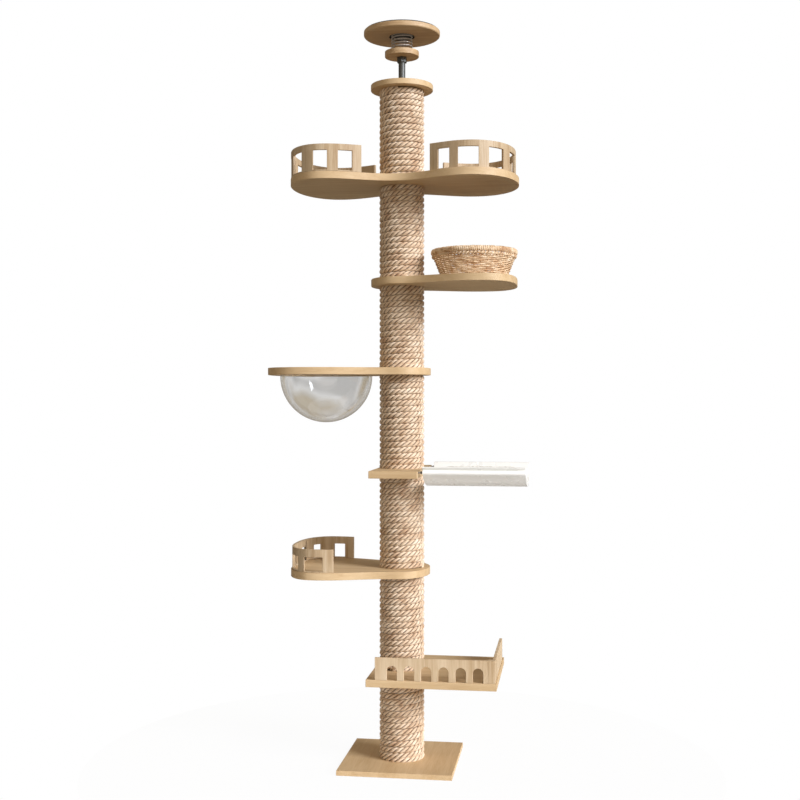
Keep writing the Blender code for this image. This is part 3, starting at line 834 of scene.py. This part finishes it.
@dataclass
class ClearBowl:
    """A clear half-globe with a flat flange, dropped through its board."""

    node: str = "acrylic_bowl"
    radius: float = 151.7 * MM
    wall: float = 3.5 * MM
    steps: int = 96

    def build(self) -> None:
        """Makes the globe from a sphere cut at its middle."""
        low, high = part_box(self.node)
        equator = low.z + self.radius
        flange = (high.x - low.x) / 2
        bm = bmesh.new()
        bmesh.ops.create_uvsphere(bm, u_segments=self.steps, v_segments=self.steps // 2,
                                  radius=self.radius)
        bmesh.ops.bisect_plane(bm, geom=bm.verts[:] + bm.edges[:] + bm.faces[:], dist=1e-6,
                               plane_co=(0, 0, 0), plane_no=(0, 0, 1), clear_outer=True)
        neck = high.z - self.wall - equator
        for lift, widen in ((neck, 1.0), (0.0, flange / self.radius)):
            rim = [e for e in bm.edges if e.is_boundary]
            grown = bmesh.ops.extrude_edge_only(bm, edges=rim)["geom"]
            verts = [g for g in grown if isinstance(g, bmesh.types.BMVert)]
            bmesh.ops.translate(bm, verts=verts, vec=(0, 0, lift))
            bmesh.ops.scale(bm, verts=verts, vec=(widen, widen, 1))
        bmesh.ops.recalc_face_normals(bm, faces=bm.faces)
        thicken_sheet(bm, self.wall)
        bmesh.ops.translate(bm, verts=bm.verts, vec=((low.x + high.x) / 2, (low.y + high.y) / 2, equator))
        even_shading(add_piece("clear_bowl", to_mesh(bm, "clear_bowl"), Body.BOWL,
                               [self.node], [CLEAR]))


@dataclass
class Hammock:
    """An opal trough on two steel rods, lined with a plush mat."""

    wall: float = 3.5 * MM
    lip: float = 13.0 * MM
    steps: int = 64
    rod_radius: float = 3.0 * MM
    rod_rounding: float = 0.9 * MM
    collar_radius: float = 4.6 * MM
    collar_length: float = 5.0 * MM
    collar_gap: float = 0.2 * MM
    collar_rounding: float = 1.2 * MM
    hem_radius: float = 7.5 * MM
    hem_inset: float = 1.0 * MM
    hem_rounding: float = 1.5 * MM
    voxel: float = 5.0 * MM
    swell_cap: float = 7.0 * MM
    pressure: float = 4.0
    frames: int = 20
    mat_gap: float = 1.0 * MM
    mat_end_gap: float = 3.0 * MM

    def build(self) -> None:
        """Makes the trough, the mat, and the rods with their collars and hems."""
        self.build_trough()
        self.build_mat()
        self.build_rods()

    def build_trough(self) -> None:
        """Makes the trough from half a barrel, flattened to an ellipse, with flat lips."""
        low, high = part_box("hammock_trough")
        half = high.y - self.lip
        bm = bmesh.new()
        ends = [bm.verts.new((x, 1.0, 0.0)) for x in (low.x, high.x)]
        edge = bm.edges.new(ends)
        bmesh.ops.spin(bm, geom=[*ends, edge], cent=(0, 0, 0), axis=(1, 0, 0), dvec=(0, 0, 0),
                       angle=-math.pi, steps=self.steps, use_merge=False)
        bmesh.ops.scale(bm, verts=bm.verts, vec=(1, half, high.z - low.z - self.wall))
        for side in (-1, 1):
            rim = [e for e in bm.edges if e.is_boundary
                   and all(abs(v.co.z) < 1e-6 and v.co.y * side > half - 1e-6 for v in e.verts)]
            grown = bmesh.ops.extrude_edge_only(bm, edges=rim)["geom"]
            verts = [g for g in grown if isinstance(g, bmesh.types.BMVert)]
            bmesh.ops.translate(bm, verts=verts, vec=(0, side * self.lip, 0))
        bmesh.ops.translate(bm, verts=bm.verts, vec=(0, 0, high.z - self.wall))
        bmesh.ops.recalc_face_normals(bm, faces=bm.faces)
        if sum(f.normal.z for f in bm.faces) > 0:
            bmesh.ops.reverse_faces(bm, faces=bm.faces)
        thicken_sheet(bm, self.wall)
        even_shading(add_piece("hammock_trough_look", to_mesh(bm, "hammock_trough"), Body.STAND,
                               ["hammock_trough"], [OPAL]))

    def build_mat(self) -> None:
        """Makes the mat from its CAD shape, swollen by a cloth simulation and kept inside the trough."""
        bm = bmesh.new()
        bm.from_mesh(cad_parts["hammock_mat"].data)
        bmesh.ops.remove_doubles(bm, verts=bm.verts, dist=1e-6)
        mesh = to_mesh(bm, "plush_mat")
        item = add_piece("plush_mat", mesh, Body.STAND, ["hammock_mat"], [FLEECE])
        remesh = item.modifiers.new("even_cells", "REMESH")
        remesh.mode = "VOXEL"
        remesh.voxel_size = self.voxel
        remesh.use_smooth_shade = True
        bake_modifiers(item)
        start = [v.co.copy() for v in item.data.vertices]
        inflate(item, self.pressure, self.frames)
        low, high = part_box("hammock_trough")
        half = high.y - self.lip - self.wall - self.mat_gap
        drop = high.z - low.z - self.wall - self.mat_gap
        for vertex, rest in zip(item.data.vertices, start):
            shift = vertex.co - rest
            if shift.length > self.swell_cap:
                vertex.co = rest + shift.normalized() * self.swell_cap
            share = math.hypot(vertex.co.y / half, (vertex.co.z - high.z) / drop)
            if share > 1:
                vertex.co.y /= share
                vertex.co.z = high.z + (vertex.co.z - high.z) / share
            vertex.co.x = min(max(vertex.co.x, low.x + self.mat_end_gap), high.x - self.mat_end_gap)
        smooth = item.modifiers.new("soft", "SUBSURF")
        smooth.levels = smooth.render_levels = 1
        bake_modifiers(item)

    def build_rods(self) -> None:
        """Makes the rods, and on each a rubber collar beside the trough and a milky hem along it."""
        edge, end = (corner.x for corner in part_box("hammock_trough"))
        for side in ("front", "back"):
            node = f"hammock_rod_{side}"
            low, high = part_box(node)
            middle = (low + high) / 2
            rod = round_bar(middle, high.x - low.x, self.rod_radius, self.rod_rounding)
            even_shading(add_piece(f"rod_{side}", to_mesh(rod, f"rod_{side}"), Body.STAND,
                                   [node], [ZINC]))
            place = Vector((edge - self.collar_gap - self.collar_length / 2, middle.y, middle.z))
            collar = round_bar(place, self.collar_length, self.collar_radius, self.collar_rounding)
            even_shading(add_piece(f"rod_collar_{side}", to_mesh(collar, f"rod_collar_{side}"), Body.STAND,
                                   [], [RUBBER]))
            place = Vector(((edge + end) / 2, middle.y, middle.z))
            hem = round_bar(place, end - edge - 2 * self.hem_inset, self.hem_radius, self.hem_rounding, 32)
            even_shading(add_piece(f"trough_hem_{side}", to_mesh(hem, f"trough_hem_{side}"), Body.STAND,
                                   [], [HEM]))


@dataclass
class WovenBasket:
    """A round flared basket: weavers in and out of stakes, a wrapped rim and a woven floor."""

    node: str = "wicker_basket"
    stakes: int = 36
    rows: int = 13
    weaver: float = 2.6 * MM
    swing: float = 1.2 * MM
    stake: float = 2.0 * MM
    wander: float = 0.5 * MM
    foot_radius: float = 107.0 * MM
    flare: float = 27.0 * MM
    rim_height: float = 26.0 * MM
    rim_rod: float = 3.2 * MM
    rim_inset: float = 7.5 * MM
    rim_lift: float = 2.4 * MM
    wraps: int = 144
    wrap_depth: float = 3.6 * MM
    wrap_height: float = 6.6 * MM
    wrap_wander: float = 0.7 * MM
    twists: int = 36
    pair_inset: float = 1.5 * MM
    pair_depth: float = 3.0 * MM
    pair_lift: float = 1.5 * MM
    pair_height: float = 3.5 * MM
    hoop_step: float = 3.0 * MM
    floor_rings: int = 18
    floor_inner: float = 5.0 * MM
    floor_outer: float = 104.0 * MM
    floor_height: float = 4.6 * MM
    floor_swing: float = 1.3 * MM
    centre: Vector = field(init=False)
    height: float = field(init=False)
    rim_radius: float = field(init=False)

    def __post_init__(self) -> None:
        """Reads the basket's place, height and rim from its CAD node."""
        low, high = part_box(self.node)
        self.centre = Vector(((low.x + high.x) / 2, (low.y + high.y) / 2, low.z))
        self.height = high.z - low.z
        self.rim_radius = (high.x - low.x) / 2

    def build(self) -> None:
        """Makes the basket's woven wall, rim and floor."""
        wall = curve_mesh("basket_weavers", self.weavers(), self.weaver, 6, True)
        add_piece("basket_weavers", wall, Body.BASKET, [self.node], [WILLOW])
        posts = curve_mesh("basket_stakes", self.stake_lines(), self.stake, 6)
        add_piece("basket_stakes", posts, Body.BASKET, [], [WILLOW])
        rim = curve_mesh("basket_rim", self.rim_lines(), self.rim_rod, 8, True)
        add_piece("basket_rim", rim, Body.BASKET, [], [WILLOW])
        floor = curve_mesh("basket_floor", self.floor_lines(), self.weaver, 6, True)
        add_piece("basket_floor", floor, Body.BASKET, [], [WILLOW])

    def wall_radius(self, share: float) -> float:
        """Returns the wall's middle radius at a share of its height below the rim."""
        return self.foot_radius + self.flare * share

    def place(self, angle: float, out: float, up: float) -> Vector:
        """Returns the point at an angle, a distance from the basket's axis and a height over its foot."""
        return self.centre + Vector((math.cos(angle) * out, math.sin(angle) * out, up))

    def ring(self, radius: float, swing: float, turned: float, height: float, rise: float = 0.0,
             waves: int = 18, points: int = 144) -> list[tuple[Vector, float]]:
        """Works out one weaver's closed line.

        Args:
            radius: Its middle radius.
            swing: How far it goes in and out of the stakes.
            turned: The phase of that swing.
            height: Its height over the basket's foot.
            rise: How far it goes up and down.
            waves: The swings in one round.
            points: The points in one round.

        Returns:
            Its points and radius shares.
        """
        line = []
        for step in range(points):
            angle = TURN * step / points
            out = radius + swing * math.sin(waves * angle + turned)
            wander = noise.noise(Vector((math.cos(angle) * 3, math.sin(angle) * 3, height * 90)))
            up = height + rise * math.sin(waves * angle + turned) + self.wander * wander
            line.append((self.place(angle, out, up), 1 + 0.06 * wander))
        return line

    def weavers(self) -> list[list[tuple[Vector, float]]]:
        """Works out the rows of the wall, each out of step with the next.

        Returns:
            The points and radius shares of each row.
        """
        lines = []
        span = self.height - self.rim_height - self.weaver
        for row in range(self.rows):
            share = row / (self.rows - 1)
            lines.append(self.ring(self.wall_radius(share), self.swing, math.pi * row,
                                   self.weaver + span * share))
        return lines

    def stake_lines(self) -> list[list[tuple[Vector, float]]]:
        """Works out the upright stakes, which run under the rim.

        Returns:
            The points and radius shares of each stake.
        """
        lines = []
        for index in range(self.stakes):
            angle = TURN * (index + 0.5) / self.stakes
            line = []
            for share in (0.0, 0.25, 0.5, 0.75, 1.0, 1.2):
                out = self.wall_radius(min(share, 1.0))
                height = self.stake + (self.height - self.rim_height) * share
                line.append((self.place(angle, out, height), 1.0))
            lines.append(line)
        return lines

    def rim_lines(self) -> list[list[tuple[Vector, float]]]:
        """Works out the rod wound round the rim, the twined pair under it and the rim's core.

        Returns:
            The points and radius shares of each line.
        """
        middle = self.height - 0.5 * self.rim_height + self.rim_lift
        core = self.rim_radius - self.rim_inset
        wound = []
        points = self.wraps * 12
        for step in range(points):
            angle = TURN * step / points
            phase = self.wraps * angle
            out = core + self.wrap_depth * math.cos(phase)
            up = middle + self.wrap_height * math.sin(phase)
            wander = noise.noise(Vector((math.cos(angle) * 9, math.sin(angle) * 9, 2.0)))
            wound.append((self.place(angle, out, up + self.wrap_wander * wander), 1 + 0.12 * wander))
        lines = [wound]
        points = self.twists * 12
        for turned in (0.0, math.pi):
            pair = []
            for step in range(points):
                angle = TURN * step / points
                phase = self.twists * angle + turned
                out = core - self.pair_inset + self.pair_depth * math.cos(phase)
                up = self.height - self.rim_height + self.pair_height * math.sin(phase) + self.pair_lift
                pair.append((self.place(angle, out, up), 0.8))
            lines.append(pair)
        for inside in (-self.hoop_step, 0.0):
            hoop = self.ring(core + inside, 0.0, 0.0, middle + inside, points=96)
            lines.append([(point, 1.4) for point, _ in hoop])
        return lines

    def floor_lines(self) -> list[list[tuple[Vector, float]]]:
        """Works out the floor's rings, woven over and under its spokes.

        Returns:
            The points and radius shares of each ring.
        """
        lines = []
        for index in range(self.floor_rings):
            share = index / (self.floor_rings - 1)
            radius = self.floor_inner + (self.floor_outer - self.floor_inner) * share
            waves = 6 if index < 5 else 12 if index < 10 else 18
            lines.append(self.ring(radius, 0.0, math.pi * index, self.floor_height, self.floor_swing, waves,
                                   48 if index < 5 else 144))
        return lines


@dataclass
class CeilingJack:
    """The screw, the seat, the coil spring and the disc that hold the tree against the ceiling."""

    turns: float = 6.0
    coil_radius: float = 34.0 * MM
    wire_radius: float = 2.1 * MM
    closed_end: float = 0.6
    points_per_turn: int = 48
    disc_rounding: float = 1.5 * MM
    screw_rounding: float = 1.2 * MM
    # A thin black sheet in the ceiling disc's recess: painted shade round the top of the spring.
    shade_sheet_radius: float = 42.2 * MM
    shade_sheet_depth: float = 5.8 * MM
    shade_sheet_gap: float = 0.25 * MM
    shade_sheet_wall: float = 0.2 * MM
    keep: float = 0.635

    def build(self) -> None:
        """Makes the jack from the cap upwards."""
        Board("spring_seat", DARKER_OAK, DARKER_OAK, Body.JACK, self.disc_rounding).build()
        Board("ceiling_disc", DARKER_OAK, DARKER_OAK, Body.CEILING, self.disc_rounding).build()
        screw = to_mesh(rounded_copy("jack_screw", self.screw_rounding), "jack_screw")
        even_shading(add_piece("jack_screw_look", screw, Body.SCREW, ["jack_screw"],
                               [BLACK_STEEL]))
        dress_node("jack_insert", ZINC)
        dress_node("ceiling_pad", RUBBER)
        self.build_spring()
        self.build_shade_sheet()

    def build_shade_sheet(self) -> None:
        """Makes a thin black sheet in the ceiling disc's recess round the spring, as painted shade in the
        recess.
        """
        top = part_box("pressure_spring")[1].z
        bm = bmesh.new()
        bmesh.ops.create_circle(bm, cap_ends=True, segments=64, radius=self.shade_sheet_radius)
        bmesh.ops.translate(bm, verts=bm.verts, vec=(0, 0, top + self.shade_sheet_gap))
        rim = [e for e in bm.edges if e.is_boundary]
        grown = bmesh.ops.extrude_edge_only(bm, edges=rim)["geom"]
        verts = [g for g in grown if isinstance(g, bmesh.types.BMVert)]
        bmesh.ops.translate(bm, verts=verts, vec=(0, 0, -self.shade_sheet_depth))
        bmesh.ops.recalc_face_normals(bm, faces=bm.faces)
        thicken_sheet(bm, self.shade_sheet_wall)
        even_shading(add_piece("recess_shade_sheet", to_mesh(bm, "recess_shade_sheet"), Body.CEILING, [],
                               [BLACK_STEEL]))

    def build_spring(self) -> None:
        """Makes the coil with closed ends."""
        low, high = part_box("pressure_spring")
        first, last = low.z + self.wire_radius, high.z - self.wire_radius
        pitch = (last - first) / (self.turns - 2 * self.closed_end)
        line = []
        steps = int(self.turns * self.points_per_turn)
        for step in range(steps + 1):
            wound = self.turns * step / steps
            height = min(max(first + pitch * (wound - self.closed_end), first), last)
            angle = TURN * wound
            line.append((Vector((math.cos(angle) * self.coil_radius, math.sin(angle) * self.coil_radius,
                                 height)), 1.0))
        mesh = curve_mesh("coil_spring", [line], self.wire_radius, 12)
        item = add_piece("coil_spring", mesh, Body.JACK, ["pressure_spring"], [SPRING_STEEL])
        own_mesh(item)


@dataclass
class Studio:
    """A pale floor, soft light from the right and the front, and the camera."""

    floor_radius: float = 1.05
    lens: float = 53.9
    sensor: float = 36.0
    turned: float = 8.2
    distance: float = 4.013
    eye: float = 1.209
    shift: float = -0.0024
    floor_drop: float = 0.5 * MM
    key_strength: float = 4.25
    key_spread: float = 25.0
    key_towards: tuple[float, float, float] = (0.883, -0.469, 0.414)
    fill_strength: float = 0.55
    fill_spread: float = 60.0
    fill_towards: tuple[float, float, float] = (0.21, -0.97, 0.1)
    sky: float = 0.33
    ground: float = 0.19

    def build(self) -> None:
        """Makes the floor, the lights and the camera."""
        scene = bpy.context.scene
        scene.view_settings.view_transform = "Standard"
        self.build_floor()
        self.build_sky()
        self.build_lamps()
        data = bpy.data.cameras.new("camera")
        data.lens, data.sensor_width, data.shift_x = self.lens, self.sensor, self.shift
        camera = bpy.data.objects.new("camera", data)
        angle = math.radians(self.turned)
        camera.location = (self.distance * math.sin(angle), -self.distance * math.cos(angle), self.eye)
        camera.rotation_euler = (math.pi / 2, 0, angle)
        scene.collection.objects.link(camera)
        scene.camera = camera

    def build_floor(self) -> None:
        """Makes a round pale floor."""
        bm = bmesh.new()
        bmesh.ops.create_circle(bm, cap_ends=True, segments=96, radius=self.floor_radius)
        bmesh.ops.translate(bm, verts=bm.verts, vec=(0, 0, -self.floor_drop))
        mesh = to_mesh(bm, "floor")
        mesh.materials.append(FLOOR_PAINT.material())
        floor = bpy.data.objects.new("floor", mesh)
        bpy.context.scene.collection.objects.link(floor)

    def build_sky(self) -> None:
        """Makes a white surround that lights softly from above, and a room for clear plastic to show."""
        world = bpy.data.worlds.new("studio")
        world.use_nodes = True
        tree = world.node_tree
        tree.nodes.clear()
        place = add_node(tree, "ShaderNodeTexCoord").outputs["Generated"]
        height = add_node(tree, "ShaderNodeSeparateXYZ", {0: place}).outputs["Z"]
        level = add_node(tree, "ShaderNodeMapRange", {
            "Value": height, "From Min": -0.35, "From Max": 0.35, "To Min": self.ground, "To Max": self.sky})
        soft = add_node(tree, "ShaderNodeBackground", {
            "Color": linear("#FFEED6"), "Strength": level.outputs[0]})
        white = add_node(tree, "ShaderNodeBackground", {"Color": (1, 1, 1, 1), "Strength": 1.0})
        climb = add_node(tree, "ShaderNodeMapRange", {
            "Value": height, "From Min": -0.25, "From Max": 0.1}).outputs[0]
        panes = add_node(tree, "ShaderNodeTexNoise", {
            "Vector": place, "Scale": 20.0, "Detail": 0.0, "Distortion": 0.4}).outputs["Fac"]
        blocks = add_node(tree, "ShaderNodeValToRGB", {"Fac": panes}, stops=(
            (0.36, linear("#CFC0A6")), (0.47, linear("#E0DBD2")), (0.56, linear("#FFFFFF")),
            (0.66, linear("#CBCBCC"))))
        tone = add_node(tree, "ShaderNodeMix", {
            0: climb, 6: linear("#D2C9BC"), 7: blocks.outputs["Color"]}, data_type="RGBA").outputs[2]
        room = add_node(tree, "ShaderNodeBackground", {"Color": tone, "Strength": 1.0})
        path = add_node(tree, "ShaderNodeLightPath")
        through = add_node(tree, "ShaderNodeMixShader", {
            0: path.outputs["Is Transmission Ray"], 1: soft.outputs[0], 2: room.outputs[0]})
        both = add_node(tree, "ShaderNodeMixShader", {
            0: path.outputs["Is Camera Ray"], 1: through.outputs[0], 2: white.outputs[0]})
        add_node(tree, "ShaderNodeOutputWorld", {"Surface": both.outputs[0]})
        bpy.context.scene.world = world

    def build_lamps(self) -> None:
        """Makes the broad key light, low on the right, and a weak broad one in front."""
        for name, strength, spread, towards, tone in (
                ("key", self.key_strength, self.key_spread, self.key_towards, "#F4F7FF"),
                ("fill", self.fill_strength, self.fill_spread, self.fill_towards, "#FFF6EC")):
            data = bpy.data.lights.new(name, "SUN")
            data.energy, data.angle = strength, math.radians(spread)
            data.color = linear(tone)[:3]
            lamp = bpy.data.objects.new(name, data)
            lamp.rotation_euler = Vector(towards).to_track_quat("Z", "Y").to_euler()
            bpy.context.scene.collection.objects.link(lamp)


def main() -> None:
    """Builds the studio and every sub-assembly, from the floor to the ceiling."""
    logging.basicConfig(level=logging.INFO, format="%(name)s: %(message)s")
    assemblies = (
        Studio(),
        Board("base_plate", BASE_TOP, BASE_EDGE),
        RopeColumn(),
        Board("tray_board", fences=("tray_front_fence", "tray_side_fence")),
        Board("lookout_board", fences=("lookout_fence",), fence_face=BENT_FENCE),
        Board("hammock_board"),
        Hammock(),
        Board("bowl_board"),
        ClearBowl(),
        Board("basket_board"),
        WovenBasket(),
        Board("twin_board", fences=("twin_fence_left", "twin_fence_right"), fence_face=BENT_FENCE),
        Board("top_cap"),
        CeilingJack(),
    )
    for assembly in assemblies:
        assembly.build()
        LOG.info("%s is done", type(assembly).__name__)


if __name__ == "__main__":
    main()
